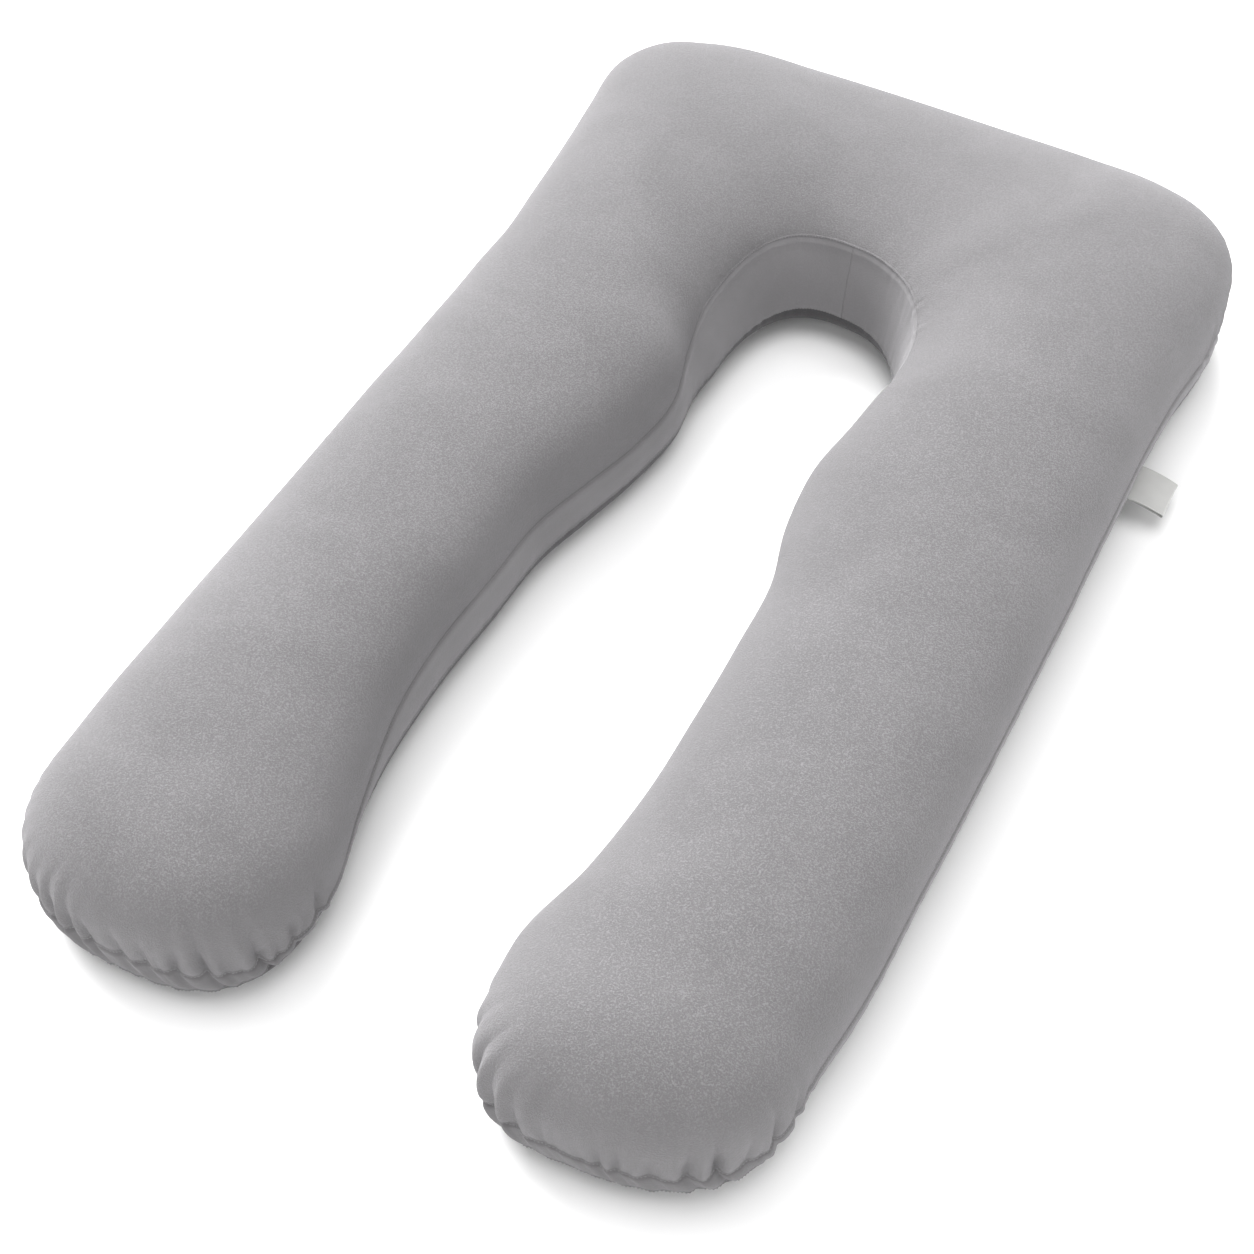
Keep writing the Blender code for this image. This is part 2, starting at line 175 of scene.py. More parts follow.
RIGHT_GATHERS = (
    Gather(-0.010, 0.0027, 0.052, 0.0040, 0.00),
    Gather(0.045, 0.0042, 0.065, 0.0045, 0.00),
    Gather(0.112, 0.0070, 0.073, 0.0050, 0.05),
    Gather(0.177, 0.0045, 0.058, 0.0050, 0.00),
    Gather(0.242, 0.0087, 0.073, 0.0050, 0.05),
    Gather(0.296, 0.0075, 0.065, 0.0050, 0.00),
    Gather(0.365, 0.0051, 0.055, 0.0050, 0.00),
    Gather(0.425, 0.0057, 0.052, 0.0045, 0.00),
    Gather(0.462, 0.0042, 0.065, 0.0050, 0.00),
    Gather(0.546, 0.0036, 0.072, 0.0050, 0.00),
    Gather(0.572, 0.0044, 0.085, 0.0060, 0.00),
    Gather(0.635, 0.0064, 0.069, 0.0058, 0.00),
    Gather(0.692, 0.0080, 0.071, 0.0054, 0.00),
    Gather(0.748, 0.0098, 0.087, 0.0058, 0.00),
    Gather(0.785, 0.0030, 0.047, 0.0046, 0.00),
    Gather(0.822, 0.0076, 0.082, 0.0058, 0.00),
    Gather(0.888, 0.0040, 0.069, 0.0056, 0.00),
    Gather(0.945, 0.0016, 0.054, 0.0052, 0.00),
)

# Across, a crease is a valley between two low ridges, placed and sized in widths of the crease. Up the
# cover it fades over GATHER_FADE of its reach, and it leans no further above LEAN_STOP reaches.
GATHER_SHARPNESS = 1.25
GATHER_RIDGE = 0.50
RIDGE_PLACE = 2.3
RIDGE_WIDTH = 1.2
CREASE_SPAN = 5
GATHER_FADE = 0.62
LEAN_STOP = 1.5

# Down at the seam only a share of the depth is left, the full depth comes a little above it, and the seam
# is lifted over the crease. In the strip the crease slants, fades downwards and ends within twice its reach
# there.
SEAM_SHARE = 0.42
GATHER_RISE = 0.009
SEAM_LIFT = 1.3
LIFT_REACH = 0.016
STRIP_SLANT = 0.45
STRIP_SHARE = 0.60
STRIP_ONSET = 4
STRIP_FADE = 0.60
STRIP_REACH = 0.034

# Small tucks between the gathers of each foot, spread by a seeded rule within these ranges.
CREASE_SEED = 11
TUCKS = 24
TUCK_DEPTH = 0.0026
TUCK_REACH = 0.044
TUCK_WIDTH = 0.0034
TUCK_PLACES = (0.1, 0.9)
TUCK_SIZES = (0.5, 1.2)
TUCK_LEANS = (-0.2, 0.2)

# Puckers are small creases elsewhere on the upper seam, spread between two places in plan by a seeded rule
# within these ranges.
PUCKER_PLACES = (0.2, 0.8)
PUCKER_SIZES = (0.6, 1.2)
PUCKER_WIDTHS = (0.003, 0.005)
PUCKER_LEANS = (-0.3, 0.3)
Puckers = namedtuple("Puckers", "start end count depth reach")
PUCKER_GROUPS = (
    Puckers((0.425, 0.480), (0.435, 0.690), 15, 0.0038, 0.058),
    Puckers((-0.420, 0.540), (-0.405, 0.690), 9, 0.0014, 0.030),
    Puckers((-0.105, 0.290), (-0.050, 0.400), 4, 0.0006, 0.016),
    Puckers((0.090, 0.385), (0.125, 0.290), 4, 0.0006, 0.016),
)

# Seams: a thin lip along the seam with a fine groove just below it, placed by how far up the cloth from the
# seam they lie. Where the strip is tall, its upper edge rolls outwards too. Both seams ripple a little.
LIP_HEIGHT = 0.0011
LIP_PLACE = 0.0004
LIP_WIDTH = 0.0009
GROOVE_DEPTH = 0.0014
GROOVE_PLACE = -0.0017
GROOVE_WIDTH = 0.0010
ROLL_HEIGHT = 0.0022
ROLL_PLACE = 0.0064
ROLL_WIDTH = 0.0046
ROLL_FROM = 0.020
ROLL_TO = 0.080
RIPPLE = 0.00025
RIPPLE_REACH = 0.012

# Soft unevenness of the filling and of the strip. The strip's starts a little inside its edges, and the
# filling's comes in over the first few centimetres above the floor.
LUMP = 0.0004
LUMP_START = 0.03
STRIP_FOLD = 0.0002
FOLD_START = 0.01

# Seeded sums of waves that all this unevenness is read from, by their shortest and longest wave.
Waves = namedtuple("Waves", "shortest longest count seed")
UPPER_RIPPLE = Waves(0.009, 0.024, 9, 3)
LOWER_RIPPLE = Waves(0.009, 0.024, 9, 4)
FOLD_WAVES = Waves(0.018, 0.060, 14, 5)
LUMP_WAVES = Waves(0.07, 0.20, 14, 6)

# Creases end this far below the lower seam, and all relief this near the floor.
CREASE_END = 0.015
RELIEF_END = 0.004

# Stitches along both seams: each is a spindle, with its stations at these shares of its length.
STITCH_PITCH = 0.0036
STITCH_LENGTH = 0.0025
STITCH_RADIUS = 0.00036
STITCH_STANDOFF = 0.0001
STITCH_STATIONS = (-0.5, -0.22, 0.22, 0.5)
STITCH_SIDES = 4

# The label: a ribbon folded in half, both ends sewn into the lower seam of the right side. It droops to its
# fold, waves a little across and lifts at the corner towards the feet.
LABEL_MIDDLE_Y = 0.290
LABEL_WIDTH = 0.056
LABEL_REACH = 0.046
LABEL_THICKNESS = 0.0004
LABEL_OPENING = 0.0036
LABEL_ROOT_OPENING = 0.0006
LABEL_ROOT_INSIDE = 0.0012
LABEL_TIP_Z = 0.024
LABEL_DROOP = 1.6
LABEL_CURL = 0.0025
LABEL_CORNER = 0.5
LABEL_WAVE = 0.2
LABEL_WAVE_TURN = 2.3
LABEL_STEPS = 30
LABEL_FOLD_STEPS = 10
LABEL_WIDTH_STEPS = 36

# A grain is a noise texture, a relief is a bump map, and a fade maps one range of values onto another.
Grain = namedtuple("Grain", "scale detail distortion")
Relief = namedtuple("Relief", "distance strength")
Fade = namedtuple("Fade", "low high at_low at_high")

# The cover's darkest and lightest tone, and how the other two panels differ from the crown: the underside is
# darkened as painted shade, the strip lightened as painted light.
COVER_DARK = (0.126, 0.123, 0.126)
COVER_LIGHT = (0.210, 0.205, 0.211)
UNDERSIDE_PAINTED_SHADE = 0.40
STRIP_PAINTED_LIGHT = 1.18
SMOOTH_NAP = 0.35

# The plush: worm-like nap, fine fibre and broad brushed patches.
NAP = Grain(620.0, 1.0, 0.8)
NAP_LINES = 1.8
NAP_CONTRAST = 0.46
NAP_RELIEF = Relief(0.0004, 0.70)
FIBRE = Grain(900.0, 2.0, 0.0)
FIBRE_CONTRAST = 0.55
FIBRE_RELIEF = Relief(0.0006, 0.5)
BRUSHED = Grain(9.0, 3.0, 0.8)
BRUSHED_CONTRAST = 0.55
PLUSH_ROUGHNESS = Fade(0.3, 0.7, 0.86, 1.0)
PLUSH_SURFACE = {
    "Specular IOR Level": 0.15,
    "Sheen Weight": 0.22,
    "Sheen Roughness": 0.45,
    "Sheen Tint": (0.95, 0.94, 0.97, 1),
}

# The nap shows most where the cloth faces up, less on sides that face the strongest light, and less towards
# the head.
NAP_BY_FACING_UP = Fade(0.45, 0.97, 0.15, 1.0)
NAP_BY_FACING_RIGHT = Fade(-0.65, 0.05, 0.40, 1.0)
NAP_BY_Y = Fade(0.15, 0.60, 1.0, 0.55)

# Round the feet the strip is darkened towards the cover's darkest tone as painted shade, by the place along
# Y.
FOOT_PAINTED_SHADE = Fade(-0.66, -0.54, 0.85, 0.0)

# The strip's two ends are joined by a line at the top of the arch, between these places along Y.
JOIN_X = 0.0085
JOIN_WIDTH = 0.0011
JOIN_START = Fade(0.36, 0.37, 0.0, 1.0)
JOIN_END = Fade(0.46, 0.47, 1.0, 0.0)
JOIN_DARKNESS = 0.35
JOIN_RELIEF = Relief(0.0010, 0.6)

THREAD_COLOUR = (0.185, 0.181, 0.186)
THREAD_LIGHT = 1.7
TWIST = Grain(2200.0, 1.0, 0.0)
TWIST_RELIEF = Relief(0.0003, 0.6)
THREAD_ROUGHNESS = Fade(0.3, 0.7, 0.55, 0.75)

LABEL_COLOUR = (0.50, 0.50, 0.49)
LABEL_SHADE = 0.86
LABEL_CLOUD = Grain(60.0, 3.0, 0.0)
LABEL_ROUGHNESS = Fade(0.3, 0.7, 0.34, 0.5)
LABEL_SHEEN = 0.15
RIB_SCALE = 420.0
RIB_DISTORTION = 0.6
RIB_RELIEF = Relief(0.0002, 0.35)

FLOOR_COLOUR = (0.92, 0.92, 0.92)
FLOOR_SHADE = 0.985
FLOOR_CLOUD = Grain(3.0, 2.0, 0.0)
FLOOR_HALF = 12.0
FLOOR_GAP = 0.0004

# Studio light: soft distant lamps, by the direction that each comes from and its strength. The spread is in
# degrees.
Light = namedtuple("Light", "name towards strength")
SURROUND = 0.35
LIGHT_SPREAD = 55
LIGHTS = (
    Light("overhead", (0.0, 0.05, 1.0), 2.10),
    Light("back_left", (-0.62, 0.62, 0.52), 7.30),
    Light("left", (-0.90, 0.15, 0.42), 1.20),
    Light("front", (0.05, -0.88, 0.45), 1.00),
    Light("right", (0.90, 0.05, 0.42), 0.96),
)

# Camera, read from the photograph's perspective: the photograph's side and its focal length in pixels, the
# sensor in millimetres, the angles in degrees, and the rest in metres. The target is given from the plan's
# origin.
PHOTO_SIZE = 1254
FOCAL_PIXELS = 2366
SENSOR = 36.0
CAMERA_PITCH = 48.8
CAMERA_YAW = 26.1
CAMERA_DISTANCE = 2.427
CAMERA_TARGET = (0.0123, -0.195, 0.090)
CAMERA_CLIP = 100


def through(rows, key, column, at):
    """A smooth curve through one column of a table, level at both ends, read at values of its key column."""
    known = np.array([getattr(row, key) for row in rows], float)
    value = np.array([getattr(row, column) for row in rows], float)
    if known[0] > known[-1]:
        known = known[::-1]
        value = value[::-1]
    slope = np.gradient(value, known)
    slope[[0, -1]] = 0
    i = np.clip(np.searchsorted(known, at) - 1, 0, len(known) - 2)
    width = known[i + 1] - known[i]
    t = (at - known[i]) / width
    start = value[i] * (1 + 2 * t) + width * slope[i] * t
    end = value[i + 1] * (3 - 2 * t) - width * slope[i + 1] * (1 - t)
    return start * (1 - t) ** 2 + end * t**2


def travelled(points):
    """How far along a line each of its points lies."""
    steps = np.linalg.norm(np.diff(points, axis=0), axis=1)
    return np.concatenate([[0], np.cumsum(steps)])


def leg_stations(rows):
    """Sections across one leg, from its foot up to the arch: outer and inner edge, then the three heights."""
    y = np.linspace(rows[0].y, rows[-1].y, LEG_STEPS + 1)
    outer = np.stack([through(rows, "y", "outer", y), y], 1)
    inner = np.stack([through(rows, "y", "inner", y), y], 1)
    heights = [through(rows, "y", name, y) for name in ("crest", "outer_seam", "inner_seam")]
    return [outer, inner, *heights]


def directions(degrees):
    """Unit vectors in plan at angles from +X."""
    turn = np.radians(degrees)
    return np.stack([np.cos(turn), np.sin(turn)], 1)


def head_stations():
    """Sections evenly spaced round the head end, from the top of the left leg to the top of the right one."""
    fine = np.linspace(180, 0, ARC_SAMPLES + 1)
    edge = through(HEAD, "angle", "reach", fine)[:, None] * directions(fine)
    travel = travelled(edge)
    angle = np.interp(np.linspace(0, travel[-1], HEAD_STEPS + 1), travel, fine)
    ray = directions(angle)
    outer = ARCH_CENTRE + ray * through(HEAD, "angle", "reach", angle)[:, None]
    across = np.sign(ray[:, 0]) * np.abs(ray[:, 0]) ** (2 / ARCH_SQUARENESS)
    up = np.abs(ray[:, 1]) ** (2 / ARCH_SQUARENESS)
    half_left = ARCH_CENTRE[0] - LEFT_LEG[-1].inner
    half_right = RIGHT_LEG[-1].inner - ARCH_CENTRE[0]
    half = np.where(across < 0, half_left, half_right)
    skew = ARCH_SKEW * np.sin(np.radians(2 * angle))
    inner = ARCH_CENTRE + np.stack([across * half, up * ARCH_RISE - skew], 1)
    heights = [through(HEAD, "angle", name, angle) for name in ("crest", "outer_seam", "inner_seam")]
    return [outer, inner, *heights]


def spine_stations():
    """Every section in order, from the left foot round to the right one."""
    left = leg_stations(LEFT_LEG)
    head = head_stations()
    right = [column[::-1] for column in leg_stations(RIGHT_LEG)]
    return [np.concatenate([a, b[1:-1], c]) for a, b, c in zip(left, head, right)]


def foot_edge(foot, outer, inner, outer_seam, inner_seam):
    """Edge, seam height and drop of the lower seam round one foot, between its outer and its inner side."""
    turn = np.linspace(0, np.pi, FOOT_STEPS + 1)[1:-1]
    centre = (outer + inner) / 2
    across = np.sign(np.cos(turn)) * np.abs(np.cos(turn)) ** (2 / foot.squareness)
    along = np.sin(turn) ** (2 / foot.squareness)
    x = centre[0] + (outer[0] - centre[0]) * across + foot.sideways * np.sin(turn) ** 2
    y = centre[1] + (foot.tip_y - centre[1]) * along + foot.slant * np.cos(turn) * np.sin(turn)
    side_seam = outer_seam + (inner_seam - outer_seam) * (1 - np.cos(turn)) / 2
    seam = side_seam + (foot.seam - side_seam) * np.sin(turn) ** 2
    return np.stack([x, y], 1), seam, foot.drop * np.sin(turn) ** DROP_SHAPE


def ring_stations():
    """The whole edge as one ring: outer side, right foot, inner side, left foot.

    Returns each place on the edge, the spine points, the spine point that each place belongs to, the heights
    of the crest along the spine and of the upper seam round the ring, and how far the lower seam drops there.
    """
    outer, inner, crest, outer_seam, inner_seam = spine_stations()
    last = len(outer) - 1
    right_edge, right_seam, right_drop = foot_edge(
        RIGHT_FOOT, outer[last], inner[last], outer_seam[last], inner_seam[last]
    )
    left_edge, left_seam, left_drop = foot_edge(LEFT_FOOT, outer[0], inner[0], outer_seam[0], inner_seam[0])
    edge = np.concatenate([outer, right_edge, inner[::-1], left_edge[::-1]])
    seam = np.concatenate([outer_seam, right_seam, inner_seam[::-1], left_seam[::-1]])
    drop = np.concatenate([np.zeros(last + 1), right_drop, np.zeros(last + 1), left_drop[::-1]])
    there = np.arange(last + 1)
    foot = np.zeros(FOOT_STEPS - 1, int)
    owner = np.concatenate([there, foot + last, there[::-1], foot])
    return edge, (outer + inner) / 2, owner, crest, seam, drop


def ring_travel(edge):
    """How far round the ring each place lies, and the ring's whole length."""
    along = travelled(np.concatenate([edge, edge[:1]]))
    return along[:-1], along[-1]


def all_creases(edge, spine_count):
    """Every gather, small tuck and pucker as a row of (place round the ring, depth, reach, width, lean)."""
    along, length = ring_travel(edge)
    random = np.random.default_rng(CREASE_SEED)
    right_start = along[spine_count - 1]
    right_length = along[spine_count - 1 + FOOT_STEPS] - right_start
    left_length = length - along[2 * spine_count - 2 + FOOT_STEPS]
    feet = ((RIGHT_GATHERS, right_start, right_length), (LEFT_GATHERS, length, -left_length))
    rows = []
    for gathers, start, way in feet:
        for g in gathers:
            rows.append((start + g.share * way, g.depth, g.reach, g.width, g.lean))
        for k in range(TUCKS):
            share = (k + random.uniform(*TUCK_PLACES)) / TUCKS
            size = random.uniform(*TUCK_SIZES)
            lean = random.uniform(*TUCK_LEANS)
            rows.append((start + share * way, TUCK_DEPTH * size, TUCK_REACH * size, TUCK_WIDTH, lean))
    for group in PUCKER_GROUPS:
        for k in range(group.count):
            share = (k + random.uniform(*PUCKER_PLACES)) / group.count
            place = np.array(group.start) * (1 - share) + np.array(group.end) * share
            nearest = np.argmin(np.linalg.norm(edge - place, axis=1))
            size = random.uniform(*PUCKER_SIZES)
            width = random.uniform(*PUCKER_WIDTHS)
            lean = random.uniform(*PUCKER_LEANS)
            rows.append((along[nearest], group.depth * size, group.reach * size, width, lean))
    return np.array(rows)


def crease_depths(edge, spine_count, above):
    """How deep the cover is drawn in round the ring, at a signed distance above the upper seam."""
    along, length = ring_travel(edge)
    depth = np.zeros_like(above)
    for place, deepest, reach, width, lean in all_creases(edge, spine_count):
        aside = (along - place + length / 2) % length - length / 2
        near = np.abs(aside) < CREASE_SPAN * width + abs(lean) * reach + STRIP_SLANT * STRIP_REACH
        up = above[..., near]
        slanted = STRIP_SLANT * np.maximum(up, -STRIP_REACH)
        leaning = lean * np.minimum(up, LEAN_STOP * reach)
        off = np.abs(aside[near] - np.where(up < 0, slanted, leaning)) / width
        valley = np.exp(-(off**GATHER_SHARPNESS))
        ridge = GATHER_RIDGE * np.exp(-(((off - RIDGE_PLACE) / RIDGE_WIDTH) ** 2))
        rise = SEAM_SHARE + (1 - SEAM_SHARE) * (1 - np.exp(-np.maximum(up, 0) / GATHER_RISE))
        fade_up = rise * np.exp(-((np.maximum(up, 0) / (GATHER_FADE * reach)) ** 2))
        below = np.clip(-up / STRIP_REACH, 0, 1)
        fade_down = SEAM_SHARE + (STRIP_SHARE - SEAM_SHARE) * np.clip(STRIP_ONSET * below, 0, 1)
        fade_down *= (1 - STRIP_FADE * below) * np.clip(2 + up / STRIP_REACH, 0, 1)
        depth[..., near] += deepest * (valley - ridge) * np.where(up < 0, fade_down, fade_up)
    return depth


def section_rows(width, crest, seam, drop):
    """Rows of (inset from the edge, height) for all sections, from the middle of the base up to the crest."""
    rows = []
    taller = seam - LEVEL_STRIP
    side = LOWER_TUCK - STRIP_LEAN * taller
    plain_lower = LOWER_SEAM + LOWER_SEAM_RISE * taller
    lower = plain_lower - drop
    stop = np.arccos(np.clip(1 - lower / plain_lower, -1, 1))
    tuck = CONTACT_INSET - (CONTACT_INSET - side) * np.sin(stop)
    for share in np.linspace(0, 1, BASE_STEPS + 1)[:-1]:
        rows.append((width + (CONTACT_INSET - width) * share, 0 * width))
    for share in np.linspace(0, 1, LOWER_STEPS + 1)[:-1]:
        inset = CONTACT_INSET - (CONTACT_INSET - side) * np.sin(share * stop)
        rows.append((inset, plain_lower * (1 - np.cos(share * stop))))
    for turn in np.linspace(0, np.pi, STRIP_STEPS + 1)[:-1]:
        share = (1 - np.cos(turn)) / 2
        inset = tuck + (UPPER_TUCK - tuck) * share - STRIP_BOW * np.sin(np.pi * share)
        rows.append((inset, lower + share * (seam - lower)))
    shallow = np.clip((seam / crest - SHALLOW_FROM) / (SHALLOW_TO - SHALLOW_FROM), 0, 1)
    shallow = shallow**2 * (3 - 2 * shallow)
    steepness = 2 / CROWN_FULLNESS + (SHALLOW_RISE - 2 / CROWN_FULLNESS) * shallow
    for share in np.linspace(0, 1, CROWN_STEPS + 1) ** CROWN_PACKING:
        turn = share * np.pi / 2
        across = 1 - np.cos(turn) ** (2 / CROWN_FULLNESS)
        rise = np.sin(turn) ** steepness
        bulge = CROWN_SWELL * (crest - seam) * (1 - shallow)
        swell = bulge * np.maximum(np.sin(2 * turn), 0) ** SWELL_SHAPE
        rows.append((UPPER_TUCK + (width - UPPER_TUCK) * across - swell, seam + (crest - seam) * rise))
    return np.array(rows)


def surface_normals(grid):
    """Outward directions of a grid of points, whose rows are closed rings from the base up to the crest."""
    up = np.gradient(grid, axis=0)
    wrapped = np.concatenate([grid[:, -1:], grid, grid[:, :1]], axis=1)
    along = wrapped[:, 2:] - wrapped[:, :-2]
    normal = np.cross(up, along)
    length = np.linalg.norm(normal, axis=2, keepdims=True)
    return normal / np.maximum(length, 1e-12)


def waves(points, shortest, longest, count, seed):
    """Soft unevenness from seeded plane waves, about -1 to 1, read at points in any number of dimensions."""
    random = np.random.default_rng(seed)
    total = np.zeros(points.shape[:-1])
    for _ in range(count):
        direction = random.normal(size=points.shape[-1])
        direction /= np.linalg.norm(direction)
        length = random.uniform(shortest, longest)
        total += np.sin(points @ direction * (2 * np.pi / length) + random.uniform(0, 2 * np.pi))
    return total / np.sqrt(count)


def seam_relief(distance):
    """How far the cover stands in from its plain shape, at a distance up the cloth from a seam."""
    lip = LIP_HEIGHT * np.exp(-(((distance - LIP_PLACE) / LIP_WIDTH) ** 2))
    groove = GROOVE_DEPTH * np.exp(-(((distance - GROOVE_PLACE) / GROOVE_WIDTH) ** 2))
    return groove - lip


def cover_grid():
    """The cover's points as rows from the base up to the crest, with their outward directions.

    The spine point that each place round the ring belongs to and the number of spine points follow them.
    """
    edge, spine, owner, crest, seam, drop = ring_stations()
    inward = spine[owner] - edge
    width = np.linalg.norm(inward, axis=1)
    inward /= width[:, None]
    inset, height = np.moveaxis(section_rows(width, crest[owner], seam, drop), 1, 0)
    plan = edge + inward * inset[:, :, None] + PLAN_ORIGIN
    grid = np.concatenate([plan, height[:, :, None]], axis=2)
    steps = np.linalg.norm(np.diff(grid, axis=0), axis=2)
    climb = np.concatenate([np.zeros((1, len(edge))), np.cumsum(steps, axis=0)])
    above = climb - climb[UPPER_ROW]
    above_lower = climb - climb[LOWER_ROW]
    at_seam = crease_depths(edge, len(spine), np.zeros(len(edge)))
    on_strip = np.clip(above_lower / (climb[UPPER_ROW] - climb[LOWER_ROW]), 0, 1)
    lift = SEAM_LIFT * np.maximum(at_seam, 0)
    grid[:, :, 2] += lift * on_strip * np.exp(-((np.maximum(above, 0) / LIFT_REACH) ** 2))
    along, _ = ring_travel(edge)
    ripple = waves(along[:, None], *UPPER_RIPPLE) * np.exp(-np.abs(above) / RIPPLE_REACH)
    ripple += waves(along[:, None], *LOWER_RIPPLE) * np.exp(-np.abs(above_lower) / RIPPLE_REACH)
    between = np.clip(above_lower / FOLD_START, 0, 1) * np.clip(-above / FOLD_START, 0, 1)
    depth = crease_depths(edge, len(spine), above) * np.clip(1 + above_lower / CREASE_END, 0, 1)
    depth += seam_relief(above) + seam_relief(above_lower) + RIPPLE * ripple
    depth += STRIP_FOLD * between * waves(grid, *FOLD_WAVES)
    tall = np.clip((climb[UPPER_ROW] - climb[LOWER_ROW] - ROLL_FROM) / (ROLL_TO - ROLL_FROM), 0, 1)
    depth -= ROLL_HEIGHT * tall * (above < 0) * np.exp(-(((above + ROLL_PLACE) / ROLL_WIDTH) ** 2))
    depth += LUMP * np.clip(height / LUMP_START, 0, 1) * waves(grid, *LUMP_WAVES)
    depth *= np.clip(height / RELIEF_END, 0, 1)
    normals = surface_normals(grid)
    moved = grid - normals * depth[:, :, None]
    moved[:, :, 2] = np.maximum(moved[:, :, 2], 0)
    return moved, normals, owner, len(spine)


def smooth_mesh(name, points, faces):
    """One smoothly shaded mesh."""
    mesh = bpy.data.meshes.new(name)
    mesh.from_pydata(points, [], faces)
    mesh.shade_smooth()
    mesh.update()
    return mesh


def panel_mesh(name, grid, owner, spine_count, closed_row):
    """Rows of the cover as one mesh; a closed row is the shared middle line of the base or of the crown."""
    rows, ring = grid.shape[:2]
    first = np.array([int(np.argmax(owner == i)) for i in range(spine_count)])
    index = np.arange(rows * ring).reshape(rows, ring)
    if closed_row is not None:
        index[closed_row] = index[closed_row][first[owner]]
    low = index[:-1]
    high = index[1:]
    next_low = np.roll(low, -1, axis=1)
    next_high = np.roll(high, -1, axis=1)
    quads = np.stack([low, high, next_high, next_low], axis=-1).reshape(-1, 4)
    faces = [list(dict.fromkeys(quad)) for quad in quads.tolist()]
    faces = [face for face in faces if len(face) > 2]
    used = np.unique(np.concatenate([np.array(face) for face in faces]))
    renumber = np.zeros(rows * ring, int)
    renumber[used] = np.arange(len(used))
    faces = [[int(renumber[corner]) for corner in face] for face in faces]
    return smooth_mesh(name, grid.reshape(-1, 3)[used].tolist(), faces)


def add_object(mesh, material):
    """Put one piece into the scene, under its mesh's name."""
    mesh.materials.append(material)
    piece = bpy.data.objects.new(mesh.name, mesh)
    bpy.context.scene.collection.objects.link(piece)
    return piece


def stitch_mesh(name, line, normals):
    """Short spindles of thread along a closed line, lying in the seam's groove."""
    closed = np.concatenate([line, line[:1]])
    travel = travelled(closed)
    outward = np.concatenate([normals, normals[:1]])
    count = int(travel[-1] / STITCH_PITCH)
    points = []
    faces = []
    for k in range(count):
        middle = travel[-1] * (k + 0.5) / count
        at = [middle + STITCH_LENGTH * share for share in STITCH_STATIONS]
        centre = np.array([[np.interp(a, travel, closed[:, c]) for c in range(3)] for a in at])
        out = np.array([np.interp(middle, travel, outward[:, c]) for c in range(3)])
        out /= np.linalg.norm(out)
        ahead = centre[-1] - centre[0]
        ahead /= np.linalg.norm(ahead)
        side = np.cross(out, ahead)
        start = len(points)
        lift = out * (STITCH_RADIUS + STITCH_STANDOFF)
        points.append(centre[0] - out * STITCH_RADIUS)
        for station in centre[1:3]:
            for turn in np.linspace(0, 2 * np.pi, STITCH_SIDES + 1)[:-1]:
                ring = (np.cos(turn) * out + np.sin(turn) * side) * STITCH_RADIUS
                points.append(station + lift + ring)
        points.append(centre[3] - out * STITCH_RADIUS)
        first = start + 1
        second = first + STITCH_SIDES
        tip = second + STITCH_SIDES
        for i in range(STITCH_SIDES):
            j = (i + 1) % STITCH_SIDES
            faces.append((start, first + j, first + i))
            faces.append((first + i, first + j, second + j, second + i))
            faces.append((tip, second + i, second + j))
    return smooth_mesh(name, [tuple(p) for p in points], faces)


def label_mesh(grid, spine_count):
    """The folded ribbon as one thin sheet, from its sewn root out to the fold and back underneath."""
    outer_side = grid[LOWER_ROW, :spine_count]
    right = outer_side[outer_side[:, 0] > 0][::-1]
    share = np.linspace(0, 1, LABEL_STEPS + 1)
    turn = np.linspace(np.pi / 2, -np.pi / 2, LABEL_FOLD_STEPS + 1)[1:-1]
    columns = []
    for v in np.linspace(-1, 1, LABEL_WIDTH_STEPS + 1):
        y = LABEL_MIDDLE_Y + PLAN_ORIGIN[1] + v * LABEL_WIDTH / 2
        root = np.interp(y, right[:, 1], right[:, 0]) - LABEL_ROOT_INSIDE
        height = np.interp(y, right[:, 1], right[:, 2])
        drop = height - LABEL_TIP_Z
        wave = LABEL_WAVE * np.sin(LABEL_WAVE_TURN * v)
        rise = LABEL_CURL * (LABEL_CORNER * np.maximum(-v, 0) ** 2 - wave)
        opening = LABEL_ROOT_OPENING + (LABEL_OPENING - LABEL_ROOT_OPENING) * np.sin(np.pi / 2 * share)
        middle_z = height - drop * share**LABEL_DROOP + rise * share**2
        out = (LABEL_REACH - LABEL_OPENING / 2) * share
        fold_out = out[-1] + LABEL_OPENING / 2 * np.cos(turn)
        fold_z = middle_z[-1] + LABEL_OPENING / 2 * np.sin(turn)
        x = np.concatenate([out, fold_out, out[::-1]])
        z = np.concatenate([middle_z + opening / 2, fold_z, (middle_z - opening / 2)[::-1]])
        columns.append(np.stack([root + x, np.full(len(x), y), z], 1))
    points = np.array(columns)
    wide, deep = points.shape[:2]
    index = np.arange(wide * deep).reshape(wide, deep)
    quads = np.stack([index[:-1, :-1], index[1:, :-1], index[1:, 1:], index[:-1, 1:]], -1).reshape(-1, 4)
    return smooth_mesh("folded_label", points.reshape(-1, 3).tolist(), quads.tolist())


